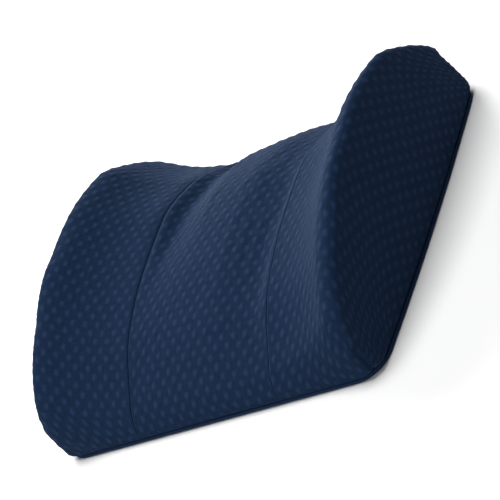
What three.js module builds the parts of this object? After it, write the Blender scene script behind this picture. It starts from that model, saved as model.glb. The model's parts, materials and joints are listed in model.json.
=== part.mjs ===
// Contoured lumbar cushion, lying on its back.
//
// Millimetres. X runs across the cushion, Y from its foot to its top edge, and Z up through its
// thickness. The origin is the middle of the underside.
//
// The cover is sewn from four panels. The back panel is flat cloth. The other three are filled, and
// meet at two seams that run from the foot to the top: a centre panel down the hollow, and a wing on
// each side that climbs from the seam to a crest and turns over it into the side wall.

import * as THREE from "three";

// Plan of the cushion
const END_WIDTH = 332; // across the foot and across the top edge
const LENGTH = 304; // from the foot to the top edge
const SIDE_BOW = 4; // how far each side wall stands out at half length
const FOOT_CORNER = 12; // plan radius of the two corners at the foot
const TOP_CORNER = 15; // plan radius of the two corners at the top edge
const WALL_LEAN = 0.074; // how far the side walls lean in for each unit of height

// Crown: at each share of the length, the heights of the wings' crests and of the hollow's bottom
const STATIONS = [
  { share: 0.0, crest: 40, hollow: 17 },
  { share: 0.06, crest: 64, hollow: 28 },
  { share: 0.22, crest: 92, hollow: 53 },
  { share: 0.42, crest: 110, hollow: 65 },
  { share: 0.6, crest: 113, hollow: 68 },
  { share: 0.78, crest: 105, hollow: 56 },
  { share: 0.9, crest: 82, hollow: 36 },
  { share: 1.0, crest: 52, hollow: 14.5 },
];
const HOLLOW_HALF_WIDTH = 69; // the wings climb from this far each side of the middle
const WING_RISE = 1.14; // height of the side wall's top over the crest line, before it is rolled
const CLIMB_POWER = 2.2; // power of the distance by which a wing climbs from the hollow

// Rolled edges
const SIDE_ROLL = 22; // radius from each wing's crest into its side wall
const END_ROLL = 14; // radius along the foot and along the top edge
const SEAM_ROLL = 3; // radius by which the cloth turns down into a seam
const BACK_SEAM_ROLL = 2; // radius by which the walls turn in to the back seam
const LOWEST_EDGE = 9; // least height of the filled panels, at the foot and top edge

// Valleys that the two long seams draw in the centre panel, deepest near the top edge
const VALLEY_DEPTH = 9; // greatest depth
const LEDGE = 5; // width of the level strip between a seam and its valley
const VALLEY_SIDE = 16; // width of the short fall into the valley
const VALLEY_REACH = 64; // distance from the seam at which the panel has risen out of the valley
const VALLEY_FULL_AT = 0.75; // share of the length at which the valley has its greatest depth

// Cloth and seams
const BACK_CLOTH = 4; // thickness of the back panel at its rolled edge
const BACK_INSET = 0.3; // how far its edge lies inside the widest line of the walls
const SEAM_GAP = 0.5; // clearance across a sewn seam
const SEAM_AT_FOOT = 74; // distance of each seam from the middle, at the foot
const SEAM_AT_TOP = 85; // the same at the top edge

// Fineness of the faceted surfaces
const ROWS = 30;
const WING_COLUMNS = 14;
const CENTRE_COLUMNS = 18;
const BACK_COLUMNS = 12;

const KNIT = { roughness: 0.95, metalness: 0 };
const PANEL_COLOURS = {
  wing: 0x22314a,
  centre: 0x293a58,
  back: 0x1d2a40,
};

// Smooth curve through points, which rises and falls only where they do: on each span it is the
// cubic with the weighted harmonic mean of the neighbouring slopes at its ends.
function smoothThrough(points) {
  const last = points.length - 1;
  const spans = points.slice(1).map(([x], i) => x - points[i][0]);
  const slopes = points.slice(1).map(([, y], i) => (y - points[i][1]) / spans[i]);
  const tangents = points.map((_, i) => {
    if (i === 0) return slopes[0];
    if (i === last) return slopes[last - 1];
    if (slopes[i - 1] * slopes[i] <= 0) return 0;
    const before = 2 * spans[i] + spans[i - 1];
    const after = spans[i] + 2 * spans[i - 1];
    return (before + after) / (before / slopes[i - 1] + after / slopes[i]);
  });
  return (x) => {
    const found = points.findIndex(([start]) => start > x) - 1;
    const i = found < 0 ? last - 1 : found;
    const t = (x - points[i][0]) / spans[i];
    const [low, high] = [points[i][1], points[i + 1][1]];
    const rest = 1 - t;
    return (
      low * (1 + 2 * t) * rest * rest +
      high * t * t * (3 - 2 * t) +
      spans[i] * t * rest * (tangents[i] * rest - tangents[i + 1] * t)
    );
  };
}

const crestHeight = smoothThrough(STATIONS.map(({ share, crest }) => [share, crest]));
const hollowHeight = smoothThrough(STATIONS.map(({ share, hollow }) => [share, hollow]));

// How far a surface drops beside an edge that is rolled over as a quarter circle.
function rollDrop(distance, radius) {
  const inward = Math.min(Math.max(distance / radius, 0), 1) - 1;
  return radius * (1 - Math.sqrt(1 - inward * inward));
}

// Distance of a seam from the middle, at a distance y from the foot.
function seamAt(y) {
  return THREE.MathUtils.lerp(SEAM_AT_FOOT, SEAM_AT_TOP, y / LENGTH);
}

// Depth of the valley beside a seam. From the seam towards the middle there is a level ledge, then
// a short fall into the valley, then a long rise out of it.
function valleyDepth(x, y) {
  const { smoothstep } = THREE.MathUtils;
  const inward = seamAt(y) - Math.abs(x);
  const fall = smoothstep(inward, LEDGE, LEDGE + VALLEY_SIDE);
  const rise = smoothstep(inward, LEDGE + VALLEY_SIDE, VALLEY_REACH);
  return VALLEY_DEPTH * smoothstep(y / LENGTH, 0, VALLEY_FULL_AT) * fall * (1 - rise);
}

// Height of the crowned front over a point of the plan, with y measured from the foot.
function crownHeight(x, y) {
  const share = y / LENGTH;
  const outward = (Math.abs(x) - HOLLOW_HALF_WIDTH) / (END_WIDTH / 2 - HOLLOW_HALF_WIDTH);
  const climb = WING_RISE * Math.max(outward, 0) ** CLIMB_POWER;
  const hollow = hollowHeight(share);
  const full = hollow + (crestHeight(share) - hollow) * climb - valleyDepth(x, y);
  const rolled =
    rollDrop(END_WIDTH / 2 - Math.abs(x), SIDE_ROLL) +
    rollDrop(Math.min(y, LENGTH - y), END_ROLL) +
    rollDrop(Math.abs(Math.abs(x) - seamAt(y)), SEAM_ROLL);
  return Math.max(full - rolled, LOWEST_EDGE);
}

// Draws the square corners of the plan in to their radius, square ring by square ring.
function roundCorner(x, y) {
  const radius = y < LENGTH / 2 ? FOOT_CORNER : TOP_CORNER;
  const middleX = END_WIDTH / 2 - radius;
  const middleY = LENGTH / 2 - radius;
  const overX = Math.abs(x) - middleX;
  const overY = Math.abs(y - LENGTH / 2) - middleY;
  if (overX <= 0 || overY <= 0) return [x, y];
  const shrink = Math.max(overX, overY) / Math.hypot(overX, overY);
  return [
    Math.sign(x) * (middleX + overX * shrink),
    LENGTH / 2 + Math.sign(y - LENGTH / 2) * (middleY + overY * shrink),
  ];
}

// Places a point of the plan at a height, drawn in from the edge of the plan by an inset, with the
// side walls bowed out and leaning in.
function place(x, y, z, inset) {
  const along = (2 * y) / LENGTH - 1;
  const bowed = x * (1 + (SIDE_BOW / (END_WIDTH / 2)) * (1 - along * along));
  const leaned = bowed * (1 - (WALL_LEAN * z + inset) / (END_WIDTH / 2));
  return [leaned, (y - LENGTH / 2) * (1 - inset / (LENGTH / 2)), z];
}

// Shares from 0 to 1 that crowd towards both ends, where the edges are rolled.
function crowdedShares(count) {
  return Array.from({ length: count + 1 }, (_, i) => (1 - Math.cos((Math.PI * i) / count)) / 2);
}

// The border of a grid of points, as their numbers in order round it.
function borderOf(columns, stride) {
  const rows = stride - 1;
  const foot = Array.from({ length: columns }, (_, i) => i * stride);
  const right = Array.from({ length: rows }, (_, j) => columns * stride + j);
  const top = Array.from({ length: columns }, (_, i) => (columns - i) * stride + rows);
  const left = Array.from({ length: rows }, (_, j) => rows - j);
  return [...foot, ...right, ...top, ...left];
}

// A closed block on a grid of the plan. Its levels are given from the upper face down, each with a
// height over the plan and an inset from its edge: the first and the last are whole faces, and
// those between are belts round the walls. leftAt(y) and rightAt(y) are where the block starts and
// ends across the cushion.
function panelBlock({ leftAt, rightAt, columns, levels }) {
  const across = crowdedShares(columns);
  const along = crowdedShares(ROWS);
  const plan = across.flatMap((columnShare) =>
    along.map((rowShare) => {
      const y = rowShare * LENGTH;
      return roundCorner(THREE.MathUtils.lerp(leftAt(y), rightAt(y), columnShare), y);
    }),
  );
  const stride = ROWS + 1;
  const border = borderOf(columns, stride);
  const points = [];
  const rings = [];
  levels.forEach(({ heightAt, inset }, level) => {
    const start = points.length;
    const whole = level === 0 || level === levels.length - 1;
    const chosen = whole ? plan : border.map((i) => plan[i]);
    points.push(...chosen.map(([x, y]) => place(x, y, heightAt(x, y), inset)));
    rings.push(border.map((i, k) => start + (whole ? i : k)));
  });
  const index = [];
  const quad = (a, b, c, d) => index.push(a, b, c, a, c, d);
  const under = points.length - plan.length;
  for (let i = 0; i < columns; i += 1) {
    for (let j = 0; j < ROWS; j += 1) {
      const a = i * stride + j;
      quad(a, a + stride, a + stride + 1, a + 1);
      quad(under + a, under + a + 1, under + a + stride + 1, under + a + stride);
    }
  }
  for (let level = 1; level < rings.length; level += 1) {
    const [above, below] = [rings[level - 1], rings[level]];
    border.forEach((_, k) => {
      const next = (k + 1) % border.length;
      quad(above[k], below[k], below[next], above[next]);
    });
  }
  const geometry = new THREE.BufferGeometry();
  geometry.setAttribute("position", new THREE.Float32BufferAttribute(points.flat(), 3));
  geometry.setIndex(index);
  geometry.computeVertexNormals();
  return geometry;
}

function knitPanel(name, colour, geometry) {
  const mesh = new THREE.Mesh(geometry, new THREE.MeshStandardMaterial({ color: colour, ...KNIT }));
  mesh.name = name;
  return mesh;
}

// A level belt of a wall at a height over the floor of the filled panels, turned in as a quarter
// circle towards the back seam.
function wallBelt(overFloor) {
  const height = BACK_CLOTH + SEAM_GAP + overFloor;
  return { heightAt: () => height, inset: rollDrop(overFloor, BACK_SEAM_ROLL) };
}

function filledPanel(name, colour, columns, leftAt, rightAt) {
  const levels = [
    { heightAt: crownHeight, inset: 0 },
    wallBelt(0.9 * BACK_SEAM_ROLL),
    wallBelt(0.3 * BACK_SEAM_ROLL),
    wallBelt(0),
  ];
  return knitPanel(name, colour, panelBlock({ leftAt, rightAt, columns, levels }));
}

function wingLeft() {
  const seamSide = (y) => -seamAt(y) - SEAM_GAP / 2;
  return filledPanel("wing_left", PANEL_COLOURS.wing, WING_COLUMNS, () => -END_WIDTH / 2, seamSide);
}

function wingRight() {
  const seamSide = (y) => seamAt(y) + SEAM_GAP / 2;
  return filledPanel("wing_right", PANEL_COLOURS.wing, WING_COLUMNS, seamSide, () => END_WIDTH / 2);
}

function centrePanel() {
  const left = (y) => -seamAt(y) + SEAM_GAP / 2;
  const right = (y) => seamAt(y) - SEAM_GAP / 2;
  return filledPanel("centre_panel", PANEL_COLOURS.centre, CENTRE_COLUMNS, left, right);
}

// The flat cloth of the back, with its edge rolled half round.
function backPanel() {
  const half = END_WIDTH / 2;
  const edgeIn = BACK_INSET + BACK_CLOTH / 2;
  const geometry = panelBlock({
    leftAt: () => -half,
    rightAt: () => half,
    columns: BACK_COLUMNS,
    levels: [
      { heightAt: () => BACK_CLOTH, inset: edgeIn },
      { heightAt: () => BACK_CLOTH / 2, inset: BACK_INSET },
      { heightAt: () => 0, inset: edgeIn },
    ],
  });
  return knitPanel("back_panel", PANEL_COLOURS.back, geometry);
}

const cushion = new THREE.Group();
cushion.add(wingLeft(), centrePanel(), wingRight(), backPanel());

export default cushion;
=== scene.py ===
"""Contoured lumbar cushion: knit cover over shaped filling, lying on its back.

Metres. X runs across the cushion, Y from its foot to its top edge, Z up through its thickness.
The pieces are three filled panels that meet at two sewn seams, and the flat cloth of the back.
"""

import json
import math

import bpy
import numpy as np
from bpy.props import FloatProperty, FloatVectorProperty, IntProperty, PointerProperty
from mathutils import Matrix, Vector

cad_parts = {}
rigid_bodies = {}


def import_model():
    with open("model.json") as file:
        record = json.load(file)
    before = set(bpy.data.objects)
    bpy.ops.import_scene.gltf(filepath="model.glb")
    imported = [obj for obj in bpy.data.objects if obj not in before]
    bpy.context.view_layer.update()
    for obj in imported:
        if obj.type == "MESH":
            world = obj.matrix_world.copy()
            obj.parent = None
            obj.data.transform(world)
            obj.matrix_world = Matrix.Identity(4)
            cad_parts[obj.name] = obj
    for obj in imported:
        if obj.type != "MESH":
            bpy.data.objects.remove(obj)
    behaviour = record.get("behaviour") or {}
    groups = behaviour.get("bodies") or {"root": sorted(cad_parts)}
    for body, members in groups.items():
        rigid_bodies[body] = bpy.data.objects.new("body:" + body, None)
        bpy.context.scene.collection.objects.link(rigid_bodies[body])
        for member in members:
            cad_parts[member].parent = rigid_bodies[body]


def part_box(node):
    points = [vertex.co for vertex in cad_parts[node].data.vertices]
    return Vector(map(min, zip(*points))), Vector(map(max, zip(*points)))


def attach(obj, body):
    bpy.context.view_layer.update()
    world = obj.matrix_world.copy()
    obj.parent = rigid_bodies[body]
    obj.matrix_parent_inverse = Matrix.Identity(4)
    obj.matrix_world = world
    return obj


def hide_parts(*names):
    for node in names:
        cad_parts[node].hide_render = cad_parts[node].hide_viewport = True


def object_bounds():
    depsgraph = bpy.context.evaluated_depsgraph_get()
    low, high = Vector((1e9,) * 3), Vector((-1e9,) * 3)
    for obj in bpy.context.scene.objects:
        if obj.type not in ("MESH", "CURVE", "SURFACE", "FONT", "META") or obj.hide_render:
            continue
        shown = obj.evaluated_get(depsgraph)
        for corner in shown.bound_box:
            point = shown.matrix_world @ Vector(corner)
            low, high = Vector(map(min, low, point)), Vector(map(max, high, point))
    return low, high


bl_info = {
    "name": "Contoured lumbar cushion",
    "version": (1, 0, 0),
    "blender": (4, 5, 0),
    "location": "View3D > Sidebar > Cushion",
    "description": "Builds a knit-covered lumbar cushion on its packed frame",
    "category": "Object",
}

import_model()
CAD_LOW, CAD_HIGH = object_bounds()

MM = 0.001
BODY = "root"
BACK_LOW, BACK_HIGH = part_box("back_panel")

# The three filled panels: side, name of the piece, node that it replaces, slot of its cloth
LEFT, CENTRE, RIGHT = -1, 0, 1
PANELS = (
    (LEFT, "left_wing", "wing_left", "wing_knit"),
    (CENTRE, "centre", "centre_panel", "centre_knit"),
    (RIGHT, "right_wing", "wing_right", "wing_knit"),
)

# How the points of the panels are spaced
CURVE_SAMPLES = 4000
SECTION_SHARE = 0.6  # share of the length where the crown's section spaces the points across
WING_PROFILE = 0.85  # share of the half width where a wing's profile spaces the points along
CENTRE_PROFILE = 0.2  # the same for the centre panel
WALL_CROWDING = 1.3  # above 1 the rows of points down a wall crowd towards the back seam

# The seams down the four corners of the walls, and the tuck at their lower ends
CORNER_SEAM_WIDTH = 1.8 * MM
CORNER_SEAM_START = 12 * MM  # depth under the rim at which a corner seam is at its deepest
CORNER_TUCK_WIDTH = 9 * MM
NO_CORNER = 1.0  # metres, further than any corner is

# The dots of the knit
LEVEL_ROWS_AT = 60 * MM  # depth under the rim at which the rows of dots run level round a wall
# Beside the front seams the cloth is plain and takes the darker ground colour: painted shade along
# the seam lines.
LEFT_SEAM_PLAIN = 3.5 * MM  # width of plain cloth beside the left seam
RIGHT_SEAM_PLAIN = 1.5 * MM
GROUND_SHARE = 0.3  # share of a dot's height by which the ground between dots is sunk

# The cloth simulation of the filling, and the rows down the walls of its coarse panels
LAST_FRAME = 20
WING_FILL_ROWS = 14
CENTRE_FILL_ROWS = 6

# Crown: share of the length from the foot, height of the wings' crests, height of the hollow
STATIONS = np.array(
    [
        (0.00, 40, 17),
        (0.06, 64, 28),
        (0.22, 92, 53),
        (0.42, 110, 65),
        (0.60, 113, 68),
        (0.78, 105, 56),
        (0.90, 82, 36),
        (1.00, 52, 14.5),
    ]
)


# ---------------------------------------------------------------- sizes and colours


class CushionSizes(bpy.types.PropertyGroup):
    """Sizes of the filled cushion."""

    end_width: FloatProperty(
        name="End width",
        description="Width across the foot and across the top edge",
        default=332 * MM,
        unit="LENGTH",
    )
    side_bow: FloatProperty(
        name="Side bow",
        description="How far each side wall stands out at half length",
        default=4.0 * MM,
        unit="LENGTH",
    )
    foot_corner: FloatProperty(
        name="Foot corner",
        description="Plan radius of the corners at the foot",
        default=12 * MM,
        unit="LENGTH",
    )
    top_corner: FloatProperty(
        name="Top corner",
        description="Plan radius of the corners at the top edge",
        default=15 * MM,
        unit="LENGTH",
    )
    wall_lean: FloatProperty(
        name="Wall lean",
        description="How far the side walls lean in for each unit of height",
        default=0.074,
    )
    hollow_half_width: FloatProperty(
        name="Hollow half width",
        description="The hollow is level this far each side of the middle",
        default=69 * MM,
        unit="LENGTH",
    )
    wing_rise: FloatProperty(
        name="Wing rise",
        description="Height of the side wall's top over the crest line before it is rolled",
        default=1.14,
    )
    climb_power: FloatProperty(
        name="Climb power",
        description="Power of the distance by which a wing climbs from the hollow",
        default=2.2,
    )
    side_roll: FloatProperty(
        name="Side roll",
        description="Radius from each wing's crest into its side wall",
        default=22 * MM,
        unit="LENGTH",
    )
    end_roll: FloatProperty(
        name="End roll",
        description="Radius along the foot and along the top edge",
        default=14 * MM,
        unit="LENGTH",
    )
    left_seam_roll: FloatProperty(
        name="Left seam roll",
        description="Radius by which the cloth turns down into the left seam",
        default=2.0 * MM,
        unit="LENGTH",
    )
    right_seam_roll: FloatProperty(
        name="Right seam roll",
        description="Radius by which the cloth turns down into the right seam",
        default=0.7 * MM,
        unit="LENGTH",
    )
    left_valley_depth: FloatProperty(
        name="Left valley depth",
        description="Depth of the valley beside the left seam",
        default=10.5 * MM,
        unit="LENGTH",
    )
    left_valley_ledge: FloatProperty(
        name="Left valley ledge",
        description="Width of the level cloth between the left seam and its valley",
        default=4 * MM,
        unit="LENGTH",
    )
    left_valley_side: FloatProperty(
        name="Left valley side",
        description="Width over which the cloth falls into the left valley",
        default=15 * MM,
        unit="LENGTH",
    )
    right_valley_depth: FloatProperty(
        name="Right valley depth",
        description="Depth of the valley beside the right seam",
        default=9 * MM,
        unit="LENGTH",
    )
    right_valley_ledge: FloatProperty(
        name="Right valley ledge",
        description="Width of the level cloth between the right seam and its valley",
        default=0 * MM,
        unit="LENGTH",
    )
    right_valley_side: FloatProperty(
        name="Right valley side",
        description="Width over which the cloth falls into the right valley",
        default=19 * MM,
        unit="LENGTH",
    )
    seam_pull: FloatProperty(
        name="Seam pull",
        description="Depth by which the left seam pulls the cloth down on both of its sides",
        default=3 * MM,
        unit="LENGTH",
    )
    pull_reach: FloatProperty(
        name="Pull reach",
        description="Distance from the left seam to which its pull is felt",
        default=13 * MM,
        unit="LENGTH",
    )
    valley_reach: FloatProperty(
        name="Valley reach",
        description="Distance from the seam at which the centre panel is out of the valley",
        default=64 * MM,
        unit="LENGTH",
    )
    lowest_edge: FloatProperty(
        name="Lowest edge",
        description="Least height of the filled panels at the foot and top edge",
        default=8.6 * MM,
        unit="LENGTH",
    )
    edge_blend: FloatProperty(
        name="Edge blend",
        description="Width over which the crown settles to the lowest edge",
        default=2 * MM,
        unit="LENGTH",
    )
    seam_gap: FloatProperty(
        name="Seam gap",
        description="Clearance across a sewn seam",
        default=0.4 * MM,
        unit="LENGTH",
    )
    seam_at_foot: FloatProperty(
        name="Seam at the foot",
        description="Distance of each seam from the middle at the foot",
        default=74 * MM,
        unit="LENGTH",
    )
    seam_at_top: FloatProperty(
        name="Seam at the top",
        description="Distance of each seam from the middle at the top edge",
        default=85 * MM,
        unit="LENGTH",
    )
    back_seam_roll: FloatProperty(
        name="Back seam roll",
        description="Radius by which the walls turn in to the back seam",
        default=1.6 * MM,
        unit="LENGTH",
    )
    corner_tuck: FloatProperty(
        name="Corner tuck",
        description="How much further the walls turn in to the back seam at the four corners",
        default=5 * MM,
        unit="LENGTH",
    )
    back_inset: FloatProperty(
        name="Back inset",
        description="How far the back cloth's edge lies inside the widest line of the walls",
        default=0.2 * MM,
        unit="LENGTH",
    )
    corner_seam_depth: FloatProperty(
        name="Corner seam depth",
        description="Depth of the short seams down the corners of the walls",
        default=1.6 * MM,
        unit="LENGTH",
    )


class KnitLook(bpy.types.PropertyGroup):
    """The knit cloth: its raised dots, its loops and its colours."""

    dot_pitch: FloatProperty(
        name="Dot pitch",
        description="Distance between dots in a row",
        default=11.3 * MM,
        unit="LENGTH",
    )
    row_pitch: FloatProperty(
        name="Row pitch",
        description="Distance between rows of dots",
        default=7.45 * MM,
        unit="LENGTH",
    )
    dot_height: FloatProperty(
        name="Dot height",
        description="Height of a raised dot over the ground of the knit",
        default=0.5 * MM,
        unit="LENGTH",
    )
    loop_width: FloatProperty(
        name="Loop width",
        description="Width of a column of the knit's fine loops",
        default=1.2 * MM,
        unit="LENGTH",
    )
    loop_height: FloatProperty(
        name="Loop height",
        description="Height of one fine loop along its column",
        default=0.9 * MM,
        unit="LENGTH",
    )
    grid_step: FloatProperty(
        name="Grid step",
        description="Aimed distance between the points of the cloth surfaces",
        default=1.0 * MM,
        unit="LENGTH",
    )
    wall_rows: IntProperty(
        name="Wall rows",
        description="Rows of points down each wing's wall",
        default=60,
    )
    # The dots are lighter and the ground darker partly by the knit's own tone and partly as
    # painted highlight on the raised dots and painted shade in the ground between them.
    dot_colour_with_highlight: FloatVectorProperty(
        name="Dot colour",
        description="Colour of the raised dots",
        default=(0.0137, 0.0316, 0.0756),
        size=3,
        subtype="COLOR",
    )
    ground_colour_with_shade: FloatVectorProperty(
        name="Ground colour",
        description="Colour of the knit between the dots",
        default=(0.0084, 0.0199, 0.0492),
        size=3,
        subtype="COLOR",
    )


class FillingSettings(bpy.types.PropertyGroup):
    """How the filling presses on the sewn cover."""

    pressure: FloatProperty(
        name="Pressure", description="Pressure of the filling on the cloth", default=4.0
    )
    point_mass: FloatProperty(
        name="Point mass",
        description="Mass of the cloth at each point of the simulated copy",
        default=0.001,
        unit="MASS",
    )
    stiffness: FloatProperty(
        name="Stiffness", description="Resistance of the cloth to stretching", default=5.0
    )
    bending: FloatProperty(
        name="Bending", description="Resistance of the cloth to bending", default=0.5
    )
    grid_step: FloatProperty(
        name="Grid step",
        description="Aimed distance between the points of the simulated copy",
        default=7 * MM,
        unit="LENGTH",
    )
    limit: FloatProperty(
        name="Limit",
        description="The movement is scaled so that none of the cloth moves further than this",
        default=1.6 * MM,
        unit="LENGTH",
    )


class StageSettings(bpy.types.PropertyGroup):
    """Camera, lights and floor."""

    azimuth: FloatProperty(
        name="Azimuth",
        description="Direction of the camera round the cushion, from the foot",
        default=math.radians(46.4),
        subtype="ANGLE",
    )
    elevation: FloatProperty(
        name="Elevation",
        description="Height of the camera's direction over the floor",
        default=math.radians(26.6),
        subtype="ANGLE",
    )
    camera_roll: FloatProperty(
        name="Camera roll",
        description="Turn of the camera about its line of sight",
        default=math.radians(44.9),
        subtype="ANGLE",
    )
    distance: FloatProperty(
        name="Distance",
        description="Distance of the camera from the point it looks at",
        default=1.366,
        unit="LENGTH",
    )
    aim_height: FloatProperty(
        name="Aim height",
        description="Height over the middle of the back of the point that is framed",
        default=40 * MM,
        unit="LENGTH",
    )
    aim_right: FloatProperty(
        name="Aim right",
        description="How far the camera looks to the right of that point, in its own view",
        default=8.0 * MM,
        unit="LENGTH",
    )
    aim_down: FloatProperty(
        name="Aim down",
        description="How far the camera looks below that point, in its own view",
        default=5.8 * MM,
        unit="LENGTH",
    )
    lens: FloatProperty(
        name="Lens", description="Focal length in millimetres", default=124.3
    )
    key_power: FloatProperty(
        name="Key light",
        description="Power in watts of the light from the left of the top edge",
        default=51.0,
    )
    top_power: FloatProperty(
        name="Top light", description="Power in watts of the light overhead", default=36.5
    )
    foot_power: FloatProperty(
        name="Foot light",
        description="Power in watts of the light from beyond the foot",
        default=11.0,
    )
    light_distance: FloatProperty(
        name="Light distance",
        description="Distance of the lights from the cushion",
        default=1.7,
        unit="LENGTH",
    )
    light_size: FloatProperty(
        name="Light size", description="Side of each square light", default=1.2, unit="LENGTH"
    )
    sky: FloatProperty(
        name="Surroundings",
        description="Strength of the even light from all round",
        default=0.022,
    )
    floor_colour: FloatVectorProperty(
        name="Floor colour",
        description="Colour of the floor",
        default=(0.84, 0.84, 0.84),
        size=3,
        subtype="COLOR",
    )


# ---------------------------------------------------------------- shape of the cushion


def smooth_through(at, values, x):
    """Smooth curve through points that rises and falls only where they do.

    On each span it is the cubic whose end slopes are the weighted harmonic means of the slopes of
    the neighbouring spans, or zero at a peak.
    """
    spans = np.diff(at)
    slopes = np.diff(values) / spans
    before = 2 * spans[1:] + spans[:-1]
    after = spans[1:] + 2 * spans[:-1]
    same = slopes[:-1] * slopes[1:] > 0
    safe = np.where(same, slopes[:-1], 1), np.where(same, slopes[1:], 1)
    mean = (before + after) / (before / safe[0] + after / safe[1])
    tangents = np.concatenate([slopes[:1], np.where(same, mean, 0), slopes[-1:]])
    i = np.clip(np.searchsorted(at, x, side="right") - 1, 0, len(spans) - 1)
    t = (x - at[i]) / spans[i]
    rest = 1 - t
    return (
        values[i] * (1 + 2 * t) * rest**2
        + values[i + 1] * t**2 * (3 - 2 * t)
        + spans[i] * t * rest * (tangents[i] * rest - tangents[i + 1] * t)
    )


def smooth_step(low, high, x):
    """0 below low, 1 above high, and the cubic 3t^2 - 2t^3 between."""
    t = np.clip((x - low) / (high - low), 0, 1)
    return t * t * (3 - 2 * t)


def soft_maximum(first, second, blend):
    """The larger of two values, rounded by half of blend where they are equal: a hyperbola."""
    return (first + second + np.hypot(first - second, blend)) / 2


def roll_drop(distance, radius):
    """Drop of a surface beside an edge that is rolled over as a quarter circle."""
    inward = np.clip(distance / radius, 0, 1) - 1
    return radius * (1 - np.sqrt(1 - inward**2))


class Form:
    """The cushion's form as functions of the plan, with y measured from the foot."""

    def __init__(self, sizes):
        self.sizes = sizes
        self.length = CAD_HIGH.y - CAD_LOW.y
        self.half_width = sizes.end_width / 2
        self.back_cloth = BACK_HIGH.z
        self.floor = self.back_cloth + sizes.seam_gap

    def seam_at(self, y):
        """Distance of a seam from the middle: a straight line from foot to top."""
        foot, top = self.sizes.seam_at_foot, self.sizes.seam_at_top
        return foot + (top - foot) * y / self.length

    def edges_at(self, side, y):
        """Left and right edges of a panel: a seam less half its gap, or the cushion's rim."""
        seam = self.seam_at(y)
        clear = self.sizes.seam_gap / 2
        rim = np.full_like(y, self.half_width)
        if side == LEFT:
            return -rim, -seam - clear
        if side == RIGHT:
            return seam + clear, rim
        return clear - seam, seam - clear

    def valley(self, x, y):
        """Depth of the valleys beside the seams.

        From the seam towards the middle there is a level ledge, then a fall into the valley,
        then a long rise out of it. The right valley starts at the foot. The left one starts
        further up, is steeper, and grows a quarter shallower again near the top edge.
        """
        s = self.sizes
        left = x < 0
        share = y / self.length
        inward = self.seam_at(y) - np.abs(x)
        depth = np.where(left, s.left_valley_depth, s.right_valley_depth)
        ledge = np.where(left, s.left_valley_ledge, s.right_valley_ledge)
        bottom = ledge + np.where(left, s.left_valley_side, s.right_valley_side)
        left_along = smooth_step(0.2, 0.7, share) * (1 - 0.25 * smooth_step(0.7, 0.95, share))
        along = np.where(left, left_along, smooth_step(-0.05, 0.4, share))
        fall = smooth_step(ledge, bottom, inward)
        rise = smooth_step(bottom, s.valley_reach, inward)
        return depth * along * fall * (1 - rise)

    def pull(self, x, y):
        """Depth by which the left seam draws in the cloth: the square of the nearness to it."""
        s = self.sizes
        near = np.clip(1 - np.abs(x + self.seam_at(y)) / s.pull_reach, 0, 1)
        return s.seam_pull * near**2 * smooth_step(0.15, 0.6, y / self.length)

    def crown(self, x, y):
        """Height of the front over the plan.

        The hollow's bottom follows its stations, less the valleys beside the seams and the pull of
        the left one. A wing climbs from it as a power of the distance. The side walls, the foot,
        the top edge and the seams are rolled down as quarter circles, to the lowest edge at most.
        """
        s = self.sizes
        share = y / self.length
        crest = smooth_through(STATIONS[:, 0], STATIONS[:, 1] * MM, share)
        hollow = smooth_through(STATIONS[:, 0], STATIONS[:, 2] * MM, share)
        outward = (np.abs(x) - s.hollow_half_width) / (self.half_width - s.hollow_half_width)
        climb = s.wing_rise * np.maximum(outward, 0) ** s.climb_power
        full = hollow + (crest - hollow) * climb - self.valley(x, y) - self.pull(x, y)
        rolled = (
            roll_drop(self.half_width - np.abs(x), s.side_roll)
            + roll_drop(np.minimum(y, self.length - y), s.end_roll)
            + roll_drop(
                np.abs(np.abs(x) - self.seam_at(y)),
                np.where(x < 0, s.left_seam_roll, s.right_seam_roll),
            )
        )
        return soft_maximum(full - rolled, s.lowest_edge, s.edge_blend)

    def round_corner(self, x, y, more=0.0):
        """Plan points with the square corners drawn in, square ring by square ring.

        The corners get their radius from the sizes, and as much more as is asked for.
        """
        s = self.sizes
        radius = np.where(y < self.length / 2, s.foot_corner, s.top_corner) + more
        middle_x = self.half_width - radius
        middle_y = self.length / 2 - radius
        over_x = np.abs(x) - middle_x
        over_y = np.abs(y - self.length / 2) - middle_y
        corner = (over_x > 0) & (over_y > 0)
        reach = np.where(corner, np.hypot(over_x, over_y), 1)
        shrink = np.where(corner, np.maximum(over_x, over_y) / reach, 1)
        new_x = np.where(corner, np.sign(x) * (middle_x + over_x * shrink), x)
        side = np.sign(y - self.length / 2)
        new_y = np.where(corner, self.length / 2 + side * (middle_y + over_y * shrink), y)
        return new_x, new_y

    def inset(self, x, y, distance):
        """Plan points drawn in towards the middle, so that the rim moves by a distance."""
        half = self.length / 2
        return x * (1 - distance / self.half_width), half + (y - half) * (1 - distance / half)

    def place(self, x, y, z):
        """Plan points at their heights.

        The side walls are bowed out as a parabola along the cushion, and lean in evenly upwards.
        """
        s = self.sizes
        along = 2 * y / self.length - 1
        bowed = x * (1 + s.side_bow / self.half_width * (1 - along**2))
        leaned = bowed * (1 - s.wall_lean * z / self.half_width)
        return np.stack([leaned, y - self.length / 2, z], axis=-1)


def even_shares(along, height, step):
    """Shares of a line at even steps along the curve that stands over it."""
    run = np.concatenate([[0], np.cumsum(np.hypot(np.diff(along), np.diff(height)))])
    at = np.interp(np.linspace(0, run[-1], int(run[-1] / step) + 1), run, along)
    return (at - along[0]) / (along[-1] - along[0])


def crowded_shares(count):
    """Shares of a line at steps that shorten a little towards both ends.

    They are four fifths of an even spacing and one fifth of half a cosine wave.
    """
    even = np.linspace(0, 1, count + 1)
    return 0.8 * even + 0.2 * (1 - np.cos(np.pi * even)) / 2


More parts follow.
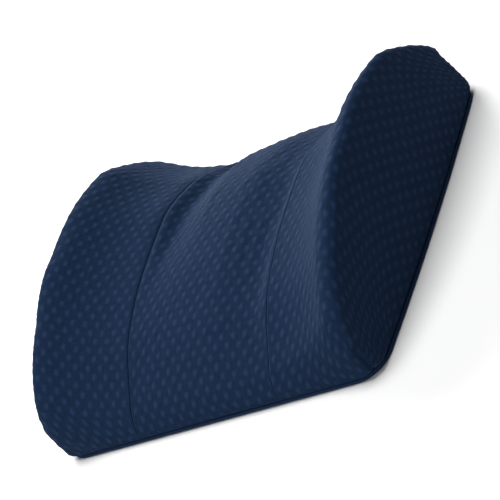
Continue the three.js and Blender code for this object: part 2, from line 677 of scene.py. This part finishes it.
def run_length(points, axis):
    """Length along a grid of points in one direction, from its first line."""
    steps = np.linalg.norm(np.diff(points, axis=axis), axis=-1)
    run = np.cumsum(steps, axis=axis)
    first = np.zeros_like(np.take(run, [0], axis=axis))
    return np.concatenate([first, run], axis=axis)


# ---------------------------------------------------------------- meshes


def grid_faces(numbers):
    """Four-sided faces of a grid of vertex numbers, facing where its two directions cross."""
    return np.stack(
        [numbers[:-1, :-1], numbers[1:, :-1], numbers[1:, 1:], numbers[:-1, 1:]], axis=-1
    ).reshape(-1, 4)


def vertex_normals(points, quads):
    """Unit normals at the vertices: the sum of the cross products of the faces' diagonals."""
    cross = np.cross(
        points[quads[:, 2]] - points[quads[:, 0]], points[quads[:, 3]] - points[quads[:, 1]]
    )
    total = np.stack(
        [
            np.bincount(quads.ravel(), np.repeat(cross[:, k], 4), len(points))
            for k in range(3)
        ],
        axis=-1,
    )
    return total / np.maximum(np.linalg.norm(total, axis=1, keepdims=True), 1e-12)


def ring_of(grid):
    """The border of a grid: its foot, its right side, its top edge and its left side."""
    return np.concatenate([grid[:, 0], grid[-1, 1:], grid[-2::-1, -1], grid[0, -2:0:-1]])


def wall_faces(border, wall):
    """Four-sided faces between a border and the closed rows of points that hang from it."""
    strip = np.concatenate([border[None], wall])
    return grid_faces(np.concatenate([strip, strip[:, :1]], axis=1))


def make_mesh_object(name, points, quads, caps, cloth, relief):
    """A closed mesh with cloth coordinates as its UV map and the dots' relief as an attribute.

    The quads are smooth and the caps, of any number of corners, are flat.
    """
    mesh = bpy.data.meshes.new(name)
    corners = np.concatenate([quads.ravel(), *caps])
    sizes = np.concatenate([np.full(len(quads), 4), [len(c) for c in caps]])
    mesh.vertices.add(len(points))
    mesh.vertices.foreach_set("co", points.astype(np.float32).ravel())
    mesh.loops.add(len(corners))
    mesh.loops.foreach_set("vertex_index", corners.astype(np.int32))
    mesh.polygons.add(len(sizes))
    starts = np.concatenate([[0], np.cumsum(sizes)[:-1]])
    mesh.polygons.foreach_set("loop_start", starts.astype(np.int32))
    mesh.polygons.foreach_set("loop_total", sizes.astype(np.int32))
    smooth = np.arange(len(sizes)) < len(quads)
    mesh.polygons.foreach_set("use_smooth", smooth)
    uv = mesh.uv_layers.new(name="cloth")
    uv.data.foreach_set("uv", cloth[corners].astype(np.float32).ravel())
    mesh.attributes.new("dots", "FLOAT", "POINT").data.foreach_set(
        "value", relief.astype(np.float32)
    )
    mesh.update(calc_edges=True)
    mesh.validate()
    made = bpy.data.objects.new(name, mesh)
    bpy.context.scene.collection.objects.link(made)
    return made


def dot_relief(cloth, look):
    """Height of the knit's staggered dots, from 0 between them to 1 on top.

    The product of a cosine along the rows and a cosine across them has its peaks on a staggered
    lattice; it is sharpened so that the dots are round islands in a narrower ground.
    """
    wave = np.cos(2 * np.pi * cloth[..., 0] / look.dot_pitch) * np.cos(
        np.pi * cloth[..., 1] / look.row_pitch
    )
    return smooth_step(0.0, 1.0, wave)


class PanelShape:
    """Points of one filled panel at a chosen fineness, without its dots.

    The front is a grid over the plan, spaced evenly along the section of the crown. The walls are
    rows of points from its border down to the floor. They lean in with the cushion, turn in as a
    quarter circle at the back seam, and have a groove down each corner of the cushion.
    """

    def __init__(self, form, side, step, wall_rows):
        self.form = form
        self.outer_left = side == LEFT
        self.outer_right = side == RIGHT
        self.lay_front(side, step)
        self.walk_border()
        self.drop_walls(wall_rows)
        self.join_faces()

    def lay_front(self, side, step):
        """The grid of the front.

        Its columns are even along the crown's section and its rows along the crown's profile.
        The corners of the plan are rounded, and each point stands at the crown's height.
        """
        form = self.form
        fine = np.linspace(0, 1, CURVE_SAMPLES)
        section_y = np.full_like(fine, form.length * SECTION_SHARE)
        left, right = form.edges_at(side, section_y)
        section_x = left + (right - left) * fine
        self.across = even_shares(section_x, form.crown(section_x, section_y), step)
        profile_y = form.length * fine
        profile_share = CENTRE_PROFILE if side == CENTRE else WING_PROFILE
        profile_x = np.full_like(fine, form.half_width * profile_share)
        self.along = even_shares(profile_y, form.crown(profile_x, profile_y), step)

        square_y = np.tile(self.along * form.length, (len(self.across), 1))
        left, right = form.edges_at(side, square_y)
        square_x = left + (right - left) * self.across[:, None]
        self.x, self.y = form.round_corner(square_x, square_y)
        self.z = form.crown(self.x, self.y)
        self.front = form.place(self.x, self.y, self.z)
        self.number = np.arange(self.z.size).reshape(self.z.shape)

    def walk_border(self):
        """The border of the front: its points, sides, inward directions and nearest corners."""
        self.border = ring_of(self.number)
        self.rim_x, self.rim_y, self.rim_z = ring_of(self.x), ring_of(self.y), ring_of(self.z)
        foot_end = len(self.across) - 1
        right_end = foot_end + len(self.along) - 1
        top_end = right_end + foot_end
        place = np.arange(len(self.border))
        self.on_foot = place <= foot_end
        self.on_right = (place > foot_end) & (place < right_end)
        self.on_top = (place >= right_end) & (place <= top_end)
        self.on_left = place > top_end

        rim = np.stack([self.rim_x, self.rim_y], axis=-1)
        steps = np.roll(rim, -1, 0) - np.roll(rim, 1, 0)
        inward = np.stack([-steps[:, 1], steps[:, 0]], axis=-1)
        self.inward = inward / np.linalg.norm(inward, axis=1, keepdims=True)
        corners = []
        if self.outer_right:
            corners = [foot_end, right_end]
        if self.outer_left:
            corners = [0, top_end]
        run = np.cumsum(np.linalg.norm(steps, axis=1)) / 2
        gaps = [np.abs(run - run[corner]) for corner in corners]
        gaps = [np.minimum(gap, run[-1] - gap) for gap in gaps]
        self.corner_gap = np.min([*gaps, np.full_like(run, NO_CORNER)], axis=0)

    def drop_walls(self, wall_rows):
        """The rows of the walls.

        Groove and tuck fade from a corner as bell curves. The groove deepens down the wall, and
        the tuck widens the quarter circle at the back seam.
        """
        form, s = self.form, self.form.sizes
        even = np.linspace(0, 1, wall_rows + 1)[1:]
        self.down = 1 - (1 - even) ** WALL_CROWDING
        self.wall_z = self.rim_z + (form.floor - self.rim_z) * self.down[:, None]
        self.depth = self.rim_z - self.wall_z
        groove = s.corner_seam_depth * np.exp(-((self.corner_gap / CORNER_SEAM_WIDTH) ** 2))
        tuck = s.corner_tuck * np.exp(-((self.corner_gap / CORNER_TUCK_WIDTH) ** 2))
        turned = roll_drop(self.wall_z - form.floor, s.back_seam_roll + tuck)
        turned = turned + groove * smooth_step(0, CORNER_SEAM_START, self.depth)
        wall_x = self.rim_x + self.inward[:, 0] * turned
        wall_y = self.rim_y + self.inward[:, 1] * turned
        self.wall = form.place(wall_x, wall_y, self.wall_z)

    def join_faces(self):
        """The faces of front and walls, and the flat cap on the floor."""
        wall_number = self.number.size + np.arange(self.wall_z.size).reshape(self.wall_z.shape)
        walls = wall_faces(self.border, wall_number)
        self.quads = np.concatenate([grid_faces(self.number), walls])
        self.floor_cap = wall_number[-1][::-1]

    def points(self):
        """All the points: those of the front, then those of the walls, row under row."""
        return np.concatenate([self.front.reshape(-1, 3), self.wall.reshape(-1, 3)])

    def held(self):
        """True at the points that sewing holds: along the seams and round the floor."""
        front = np.zeros(self.x.shape, bool)
        front[0] = not self.outer_left
        front[-1] = not self.outer_right
        ring = (self.on_left & (not self.outer_left)) | (self.on_right & (not self.outer_right))
        wall = np.tile(ring, (len(self.down), 1))
        wall[-1] = True
        return np.concatenate([front.ravel(), wall.ravel()])

    def cloth(self):
        """Cloth coordinates: across the cushion and along it, in metres of cloth.

        On the front they are lengths along the surface, from the outer rim of a wing or from the
        middle of the centre panel, and from half length. Down a wall the cloth runs on, and
        settles to level rows of dots.
        """
        across = run_length(self.front, 0)
        if self.outer_right:
            across = across - across[-1:]
        elif not self.outer_left:
            across = across - across[-1:] / 2
        along = run_length(self.front, 1)
        along = along - along[:, [np.searchsorted(self.along, 0.5)]]
        front = np.stack([across, along], axis=-1)
        rim = ring_of(front)
        settled = smooth_step(0, LEVEL_ROWS_AT, self.depth)
        level = (self.rim_z.max() - self.rim_z) * settled
        side = self.on_right * 1.0 - self.on_left * 1.0
        end = self.on_top * 1.0 - self.on_foot * 1.0
        wall_across = rim[:, 0] + (self.depth + level) * side
        plain_along = self.rim_y - self.form.length / 2
        side_along = rim[:, 1] + (plain_along - rim[:, 1]) * settled
        wall_along = np.where(side != 0, side_along, rim[:, 1] + self.depth * end)
        wall = np.stack([wall_across, wall_along], axis=-1)
        return np.concatenate([front.reshape(-1, 2), wall.reshape(-1, 2)])

    def dot_fade(self):
        """Strength of the dots, which flatten out beside the seams. With them the colour falls to
        the darker ground: beside the seams of the front this is painted shade along the seam
        lines, and down the walls the cloth is darker beside the seams and the back seam.
        """
        form = self.form
        seam = np.abs(np.abs(self.x) - form.seam_at(self.y))
        plain = np.where(self.x < 0, LEFT_SEAM_PLAIN, RIGHT_SEAM_PLAIN)
        front = smooth_step(0.3 * plain, 1.3 * plain, seam)
        rim_seam = np.abs(np.abs(self.rim_x) - form.seam_at(self.rim_y))
        beside_seam = smooth_step(0.5 * MM, 4 * MM, rim_seam)
        beside_corner = smooth_step(0.5 * MM, 3 * MM, self.corner_gap)
        over_back_seam = smooth_step(0.5 * MM, 4 * MM, self.wall_z - form.floor)
        walls = beside_seam * beside_corner * over_back_seam
        return np.concatenate([front.ravel(), walls.ravel()])

    def split(self, values):
        """Values at all the points, as those of the front and those of the walls."""
        count = self.number.size
        front = values[:count].reshape(*self.x.shape, -1)
        return front, values[count:].reshape(*self.wall_z.shape, -1)

    def round_shares(self):
        """Place of each border point round the four sides, from 0 to 4."""
        foot, right = self.across, 1 + self.along[1:]
        top, left = 3 - self.across[-2::-1], 4 - self.along[-2:0:-1]
        return np.concatenate([foot, right, top, left])


def resample(values, at):
    """Values along the first axis at fractional places, on smooth cubics through them."""
    last = len(values) - 1
    i = np.clip(np.floor(at).astype(int), 0, last - 1)
    t = (at - i)[:, None, None]
    a, b = values[np.maximum(i - 1, 0)], values[i]
    c, d = values[i + 1], values[np.minimum(i + 2, last)]
    return b + 0.5 * t * (c - a + t * (2 * a - 5 * b + 4 * c - d + t * (3 * (b - c) + d - a)))


def simulate_filling(name, coarse, puff):
    """Movement of a coarse panel's points when the filling presses on its sewn cover.

    The copy is held at its seams and round the floor, and its cloth is simulated under pressure
    without gravity. The movement is scaled down where it passes its limit.
    """
    points = coarse.points()
    blank = np.zeros((len(points), 2))
    body = make_mesh_object(name, points, coarse.quads, [coarse.floor_cap], blank, blank[:, 0])
    held = body.vertex_groups.new(name="held")
    held.add(np.flatnonzero(coarse.held()).tolist(), 1.0, "REPLACE")
    modifier = body.modifiers.new("filling", "CLOTH")
    cloth = modifier.settings
    cloth.quality = 6
    cloth.mass = puff.point_mass
    cloth.tension_stiffness = puff.stiffness
    cloth.compression_stiffness = puff.stiffness
    cloth.shear_stiffness = puff.stiffness / 3
    cloth.bending_stiffness = puff.bending
    cloth.air_damping = 2.0
    cloth.use_pressure = True
    cloth.uniform_pressure_force = puff.pressure
    cloth.effector_weights.gravity = 0.0
    cloth.vertex_group_mass = "held"
    modifier.collision_settings.use_collision = False
    modifier.point_cache.frame_start = 1
    modifier.point_cache.frame_end = LAST_FRAME
    scene = bpy.context.scene
    for step in range(1, LAST_FRAME + 1):
        scene.frame_set(step)
    filled = body.evaluated_get(bpy.context.evaluated_depsgraph_get())
    after = np.empty(len(points) * 3, np.float32)
    filled.data.vertices.foreach_get("co", after)
    scene.frame_set(1)
    bpy.data.objects.remove(body)
    moved = after.reshape(-1, 3).astype(float) - points
    furthest = np.linalg.norm(moved, axis=1).max()
    return moved * min(1.0, puff.limit / max(furthest, 1e-9))


def carry_movement(moved, coarse, shape):
    """A coarse panel's movement at the points of the fine one, by their places on the grids.

    Front and walls are resampled on smooth cubics, first in one direction and then the other.
    """
    front, wall = coarse.split(moved)
    rim = ring_of(front)[None]
    columns = np.interp(shape.across, coarse.across, np.arange(len(coarse.across)))
    rows = np.interp(shape.along, coarse.along, np.arange(len(coarse.along)))
    front = resample(front, columns)
    front = resample(front.swapaxes(0, 1), rows).swapaxes(0, 1)

    wall = np.concatenate([rim, wall])
    wall = np.concatenate([wall, wall[:, :1]], axis=1)
    around = np.append(coarse.round_shares(), 4.0)
    places = np.interp(shape.round_shares(), around, np.arange(len(around)))
    wall = resample(wall.swapaxes(0, 1), places).swapaxes(0, 1)
    levels = np.append(0.0, coarse.down)
    wall = resample(wall, np.interp(shape.down, levels, np.arange(len(levels))))
    return np.concatenate([front.reshape(-1, 3), wall.reshape(-1, 3)])


def filled_panel(name, side, form, look, puff):
    """One filled panel: its shape, the lift of its filling, and its dots along the normals."""
    rows = look.wall_rows // 3 if side == CENTRE else look.wall_rows
    shape = PanelShape(form, side, look.grid_step, rows)
    points = shape.points()
    fill_rows = CENTRE_FILL_ROWS if side == CENTRE else WING_FILL_ROWS
    coarse = PanelShape(form, side, puff.grid_step, fill_rows)
    moved = simulate_filling(name + "_fill", coarse, puff)
    points = points + carry_movement(moved, coarse, shape)
    cloth = shape.cloth()
    fade = shape.dot_fade()
    dots = dot_relief(cloth, look)
    raised = (dots - GROUND_SHARE) * fade * look.dot_height
    points = points + vertex_normals(points, shape.quads) * raised[:, None]
    return make_mesh_object(name, points, shape.quads, [shape.floor_cap], cloth, dots * fade)


def back_cloth_sheet(name, form, look):
    """The flat cloth of the back, with a rounded edge all round.

    It is a grid of the plan below, with the ground between the dots pressed up into it, a
    half-round edge carried round the plan, and a plain face above.
    """
    s = form.sizes
    step = 1.2 * look.grid_step
    grid_x = crowded_shares(int(2 * form.half_width / step))
    grid_y = crowded_shares(int(form.length / step))
    square_x, square_y = np.meshgrid(
        (2 * grid_x - 1) * form.half_width, grid_y * form.length, indexing="ij"
    )
    x, y = form.inset(*form.round_corner(square_x, square_y, 2 * s.corner_tuck), s.back_inset)
    radius = form.back_cloth / 2
    x_in, y_in = form.inset(x, y, radius)
    cloth = np.stack([x, y - form.length / 2], axis=-1)
    dots = dot_relief(cloth, look)
    from_edge = np.minimum(form.half_width - np.abs(x), np.minimum(y, form.length - y))
    fade = smooth_step(2 * MM, 6 * MM, from_edge)
    under = form.place(x_in, y_in, np.zeros_like(x))
    under[..., 2] = (1 - dots) * fade * look.dot_height * 0.6

    rim_x, rim_y = ring_of(x_in), ring_of(y_in)
    turn = np.linspace(0, np.pi, 9)[1:, None]
    edge_x = rim_x + (ring_of(x) - rim_x) * np.sin(turn)
    edge_y = rim_y + (ring_of(y) - rim_y) * np.sin(turn)
    edge_z = np.tile(radius * (1 - np.cos(turn)), (1, len(rim_x)))
    edge = form.place(edge_x, edge_y, edge_z)

    number = np.arange(x.size).reshape(x.shape)
    edge_number = x.size + np.arange(edge_z.size).reshape(edge_z.shape)
    faces = np.concatenate([grid_faces(number), wall_faces(ring_of(number), edge_number)])
    points = np.concatenate([under.reshape(-1, 3), edge.reshape(-1, 3)])
    edge_cloth = np.tile(ring_of(cloth), (len(turn), 1))
    all_cloth = np.concatenate([cloth.reshape(-1, 2), edge_cloth])
    # The rounded edge is coloured most of the way from the ground to the dots, lighter than the
    # plain ground: a painted highlight along the back cloth's edge.
    relief = np.concatenate([(dots * fade).ravel(), np.full(edge_z.size, 0.7)])
    return make_mesh_object(name, points, faces[:, ::-1], [edge_number[-1]], all_cloth, relief)


# ---------------------------------------------------------------- materials


def new_group(name, inputs, outputs):
    """An empty shader node group with named sockets, each (name, kind, default)."""
    group = bpy.data.node_groups.new(name, "ShaderNodeTree")
    for socket_name, kind, default in inputs:
        socket = group.interface.new_socket(socket_name, in_out="INPUT", socket_type=kind)
        if default is not None:
            socket.default_value = default
    for socket_name, kind in outputs:
        group.interface.new_socket(socket_name, in_out="OUTPUT", socket_type=kind)
    start = group.nodes.new("NodeGroupInput")
    end = group.nodes.new("NodeGroupOutput")
    return group, start, end


def math_node(nodes, links, operation, first, second=None, third=None):
    """A Math node with its inputs linked or set, giving its output."""
    node = nodes.new("ShaderNodeMath")
    node.operation = operation
    for socket, value in zip(node.inputs, (first, second, third)):
        if value is None:
            continue
        if isinstance(value, bpy.types.NodeSocket):
            links.new(value, socket)
        else:
            socket.default_value = value
    return node.outputs[0]


def knit_loops_group():
    """Fine loops of the knit: columns of small V shaped stitches.

    The height is a cosine across the columns, plus a cosine along them whose place is shifted by
    the sine of the place across, so each column reads as a plait of loops.
    """
    group, start, end = new_group(
        "Knit loops",
        [
            ("Cloth", "NodeSocketVector", None),
            ("Loop width", "NodeSocketFloat", 1.2 * MM),
            ("Loop height", "NodeSocketFloat", 0.9 * MM),
        ],
        [("Height", "NodeSocketFloat")],
    )
    nodes, links = group.nodes, group.links
    split = nodes.new("ShaderNodeSeparateXYZ")
    links.new(start.outputs["Cloth"], split.inputs[0])
    turns_x = math_node(nodes, links, "DIVIDE", split.outputs[0], start.outputs["Loop width"])
    turns_y = math_node(nodes, links, "DIVIDE", split.outputs[1], start.outputs["Loop height"])
    angle_x = math_node(nodes, links, "MULTIPLY", turns_x, 2 * math.pi)
    angle_y = math_node(nodes, links, "MULTIPLY", turns_y, 2 * math.pi)
    across = math_node(nodes, links, "COSINE", angle_x)
    lean = math_node(nodes, links, "ABSOLUTE", math_node(nodes, links, "SINE", angle_x))
    bent = math_node(nodes, links, "MULTIPLY_ADD", lean, 2.2, angle_y)
    along = math_node(nodes, links, "COSINE", bent)
    half = math_node(nodes, links, "MULTIPLY", along, 0.5)
    total = math_node(nodes, links, "MULTIPLY_ADD", across, 0.35, half)
    height = math_node(nodes, links, "MULTIPLY_ADD", total, 0.5, 0.5)
    links.new(height, end.inputs["Height"])
    return group


def cloth_tone_group():
    """Colour of the knit: ground and dot colours by the relief, with soft uneven dye.

    The colour is brightened on the loops and by a fine noise; on the loops, and darkened between
    them, this is painted shade of the fine loops. The lighter dots and darker ground are partly
    painted highlight on the raised dots and painted shade between them. The dots are a little
    smoother.
    """
    group, start, end = new_group(
        "Cloth tone",
        [
            ("Relief", "NodeSocketFloat", 0.5),
            ("Loop shade", "NodeSocketFloat", 0.5),
            ("Ground", "NodeSocketColor", (0.02, 0.03, 0.06, 1)),
            ("Dots", "NodeSocketColor", (0.03, 0.05, 0.1, 1)),
            ("Unevenness", "NodeSocketFloat", 0.28),
            ("Patches per metre", "NodeSocketFloat", 330.0),
        ],
        [("Colour", "NodeSocketColor"), ("Roughness", "NodeSocketFloat")],
    )
    nodes, links = group.nodes, group.links
    # The relief mixes the darker ground and the lighter dots: partly the knit's own tone, partly
    # painted highlight on the dots and painted shade between them.
    mix = nodes.new("ShaderNodeMix")
    mix.data_type = "RGBA"
    links.new(start.outputs["Relief"], mix.inputs["Factor"])
    links.new(start.outputs["Ground"], mix.inputs["A"])
    links.new(start.outputs["Dots"], mix.inputs["B"])
    where = nodes.new("ShaderNodeTexCoord")
    noise = nodes.new("ShaderNodeTexNoise")
    noise.inputs["Detail"].default_value = 3.0
    links.new(start.outputs["Patches per metre"], noise.inputs["Scale"])
    links.new(where.outputs["Object"], noise.inputs["Vector"])
    centred = math_node(nodes, links, "SUBTRACT", noise.outputs["Fac"], 0.5)
    uneven = math_node(nodes, links, "MULTIPLY", centred, start.outputs["Unevenness"])
    # Painted shade of the fine loops: the colour is darker between them and lighter on their tops.
    loops = math_node(nodes, links, "MULTIPLY_ADD", start.outputs["Loop shade"], 0.3, 0.85)
    value = math_node(nodes, links, "MULTIPLY_ADD", uneven, 2.0, loops)
    tone = nodes.new("ShaderNodeHueSaturation")
    links.new(value, tone.inputs["Value"])
    links.new(mix.outputs["Result"], tone.inputs["Color"])
    links.new(tone.outputs["Color"], end.inputs["Colour"])
    rough = math_node(nodes, links, "MULTIPLY_ADD", start.outputs["Relief"], -0.06, 0.94)
    links.new(rough, end.inputs["Roughness"])
    return group


def knit_cloth(slot, look, tone=1.0):
    """The cloth of a slot: matte knit with fine loops and a soft sheen of fibres.

    Its colours are those of the knit times the tone. Where the slot has its cloth, that is used.
    """
    name = slot + "_cloth"
    if name in bpy.data.materials:
        return bpy.data.materials[name]
    material = bpy.data.materials.new(name)
    material.use_nodes = True
    nodes, links = material.node_tree.nodes, material.node_tree.links
    shader = nodes["Principled BSDF"]
    cloth = nodes.new("ShaderNodeUVMap")
    cloth.uv_map = "cloth"
    relief = nodes.new("ShaderNodeAttribute")
    relief.attribute_name = "dots"

    loops = nodes.new("ShaderNodeGroup")
    loops.node_tree = bpy.data.node_groups.get("Knit loops") or knit_loops_group()
    loops.inputs["Loop width"].default_value = look.loop_width
    loops.inputs["Loop height"].default_value = look.loop_height
    links.new(cloth.outputs["UV"], loops.inputs["Cloth"])
    colour = nodes.new("ShaderNodeGroup")
    colour.node_tree = bpy.data.node_groups.get("Cloth tone") or cloth_tone_group()
    # The ground and dot colours carry painted shade between the raised dots and painted highlight
    # on them.
    colour.inputs["Ground"].default_value = (*[c * tone for c in look.ground_colour_with_shade], 1)
    colour.inputs["Dots"].default_value = (*[c * tone for c in look.dot_colour_with_highlight], 1)
    links.new(relief.outputs["Fac"], colour.inputs["Relief"])
    # The loops' height also paints their shade into the colour.
    links.new(loops.outputs["Height"], colour.inputs["Loop shade"])
    bump = nodes.new("ShaderNodeBump")
    bump.inputs["Strength"].default_value = 0.6
    bump.inputs["Distance"].default_value = 0.4 * MM
    links.new(loops.outputs["Height"], bump.inputs["Height"])

    links.new(colour.outputs["Colour"], shader.inputs["Base Color"])
    links.new(colour.outputs["Roughness"], shader.inputs["Roughness"])
    links.new(bump.outputs["Normal"], shader.inputs["Normal"])
    shader.inputs["Specular IOR Level"].default_value = 0.03
    shader.inputs["Sheen Weight"].default_value = 0.14
    shader.inputs["Sheen Roughness"].default_value = 0.25
    shader.inputs["Sheen Tint"].default_value = (0.45, 0.65, 1.0, 1)
    return material


def plain_material(name, colour, roughness):
    """A plain matte material."""
    material = bpy.data.materials.new(name)
    material.use_nodes = True
    shader = material.node_tree.nodes["Principled BSDF"]
    shader.inputs["Base Color"].default_value = (*colour, 1)
    shader.inputs["Roughness"].default_value = roughness
    return material


# ---------------------------------------------------------------- operators


class CUSHION_OT_filled_panels(bpy.types.Operator):
    """Make the two filled wings and the filled centre panel"""

    bl_idname = "cushion.filled_panels"
    bl_label = "Filled panels"

    def execute(self, context):
        scene = context.scene
        form = Form(scene.cushion_sizes)
        for side, name, node, slot in PANELS:
            piece = filled_panel(name, side, form, scene.cushion_knit, scene.cushion_filling)
            piece.data.materials.append(knit_cloth(slot, scene.cushion_knit))
            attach(piece, BODY)
            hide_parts(node)
        return {"FINISHED"}


class CUSHION_OT_back_cloth(bpy.types.Operator):
    """Make the flat cloth that closes the back"""

    bl_idname = "cushion.back_cloth"
    bl_label = "Back cloth"

    def execute(self, context):
        sizes, look = context.scene.cushion_sizes, context.scene.cushion_knit
        form = Form(sizes)
        piece = back_cloth_sheet("back_cloth", form, look)
        piece.data.materials.append(knit_cloth("back_knit", look, 0.95))
        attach(piece, BODY)
        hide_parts("back_panel")
        return {"FINISHED"}


class CUSHION_OT_stage(bpy.types.Operator):
    """Make the floor, the lights and the camera"""

    bl_idname = "cushion.stage"
    bl_label = "Stage"

    def execute(self, context):
        scene = context.scene
        self.clear(scene)
        self.make_floor(scene, scene.cushion_stage)
        self.make_lights(scene, scene.cushion_stage)
        self.make_camera(scene, scene.cushion_stage)
        scene.view_settings.view_transform = "Standard"
        return {"FINISHED"}

    def clear(self, scene):
        """Takes away lights and cameras that are there already."""
        for made in list(scene.objects):
            if made.type in {"LIGHT", "CAMERA"}:
                bpy.data.objects.remove(made)

    def make_floor(self, scene, stage):
        """A plain square floor under the cushion."""
        half = 6.0
        corners = [(-half, -half, 0), (half, -half, 0), (half, half, 0), (-half, half, 0)]
        mesh = bpy.data.meshes.new("floor")
        mesh.from_pydata(corners, [], [(0, 1, 2, 3)])
        mesh.materials.append(plain_material("floor_paint", stage.floor_colour, 0.9))
        floor = bpy.data.objects.new("floor", mesh)
        scene.collection.objects.link(floor)

    def make_lights(self, scene, stage):
        """Even surroundings, and three soft square lights that face the cushion."""
        world = bpy.data.worlds.new("surroundings")
        world.use_nodes = True
        background = world.node_tree.nodes["Background"]
        background.inputs["Color"].default_value = (1, 1, 1, 1)
        background.inputs["Strength"].default_value = stage.sky
        scene.world = world
        centre = (CAD_LOW + CAD_HIGH) / 2
        lights = [
            ("key_light", Vector((-0.66, 0.66, 0.34)), stage.key_power),
            ("top_light", Vector((-0.08, 0.0, 1.0)), stage.top_power),
            ("foot_light", Vector((0.0, -0.94, 0.34)), stage.foot_power),
        ]
        for name, towards, power in lights:
            data = bpy.data.lights.new(name, "AREA")
            data.shape = "SQUARE"
            data.size = stage.light_size
            data.energy = power
            light = bpy.data.objects.new(name, data)
            light.location = centre + towards.normalized() * stage.light_distance
            light.rotation_mode = "QUATERNION"
            light.rotation_quaternion = (-towards).to_track_quat("-Z", "Y")
            scene.collection.objects.link(light)

    def make_camera(self, scene, stage):
        """The camera, at its azimuth and elevation and rolled about its line of sight."""
        a, e, r = stage.azimuth, stage.elevation, stage.camera_roll
        back = Vector((math.sin(a) * math.cos(e), -math.cos(a) * math.cos(e), math.sin(e)))
        level_up = (Vector((0, 0, 1)) - back * back.z).normalized()
        level_right = level_up.cross(back)
        right = level_right * math.cos(r) - level_up * math.sin(r)
        up = level_up * math.cos(r) + level_right * math.sin(r)
        aim = Vector((0, 0, stage.aim_height)) + right * stage.aim_right - up * stage.aim_down
        turn = Matrix((right, up, back)).transposed().to_4x4()
        data = bpy.data.cameras.new("camera")
        data.lens = stage.lens
        data.clip_end = 50.0
        camera = bpy.data.objects.new("camera", data)
        camera.matrix_world = Matrix.Translation(aim + back * stage.distance) @ turn
        scene.collection.objects.link(camera)
        scene.camera = camera


class CUSHION_PT_sidebar(bpy.types.Panel):
    """The cushion's operators and sizes"""

    bl_idname = "CUSHION_PT_sidebar"
    bl_label = "Lumbar cushion"
    bl_space_type = "VIEW_3D"
    bl_region_type = "UI"
    bl_category = "Cushion"

    def draw(self, context):
        for operator in OPERATORS:
            self.layout.operator(operator.bl_idname)
        for group in (
            context.scene.cushion_sizes,
            context.scene.cushion_knit,
            context.scene.cushion_filling,
            context.scene.cushion_stage,
        ):
            box = self.layout.box()
            for name in group.__annotations__:
                box.prop(group, name)


OPERATORS = (CUSHION_OT_filled_panels, CUSHION_OT_back_cloth, CUSHION_OT_stage)
CLASSES = (CushionSizes, KnitLook, FillingSettings, StageSettings, *OPERATORS, CUSHION_PT_sidebar)


def register():
    for made in CLASSES:
        bpy.utils.register_class(made)
    bpy.types.Scene.cushion_sizes = PointerProperty(type=CushionSizes)
    bpy.types.Scene.cushion_knit = PointerProperty(type=KnitLook)
    bpy.types.Scene.cushion_filling = PointerProperty(type=FillingSettings)
    bpy.types.Scene.cushion_stage = PointerProperty(type=StageSettings)


def unregister():
    del bpy.types.Scene.cushion_stage
    del bpy.types.Scene.cushion_filling
    del bpy.types.Scene.cushion_knit
    del bpy.types.Scene.cushion_sizes
    for made in reversed(CLASSES):
        bpy.utils.unregister_class(made)


def main():
    """Builds the stage and the pieces."""
    register()
    bpy.ops.cushion.stage()
    bpy.ops.cushion.filled_panels()
    bpy.ops.cushion.back_cloth()


if __name__ == "__main__":
    main()
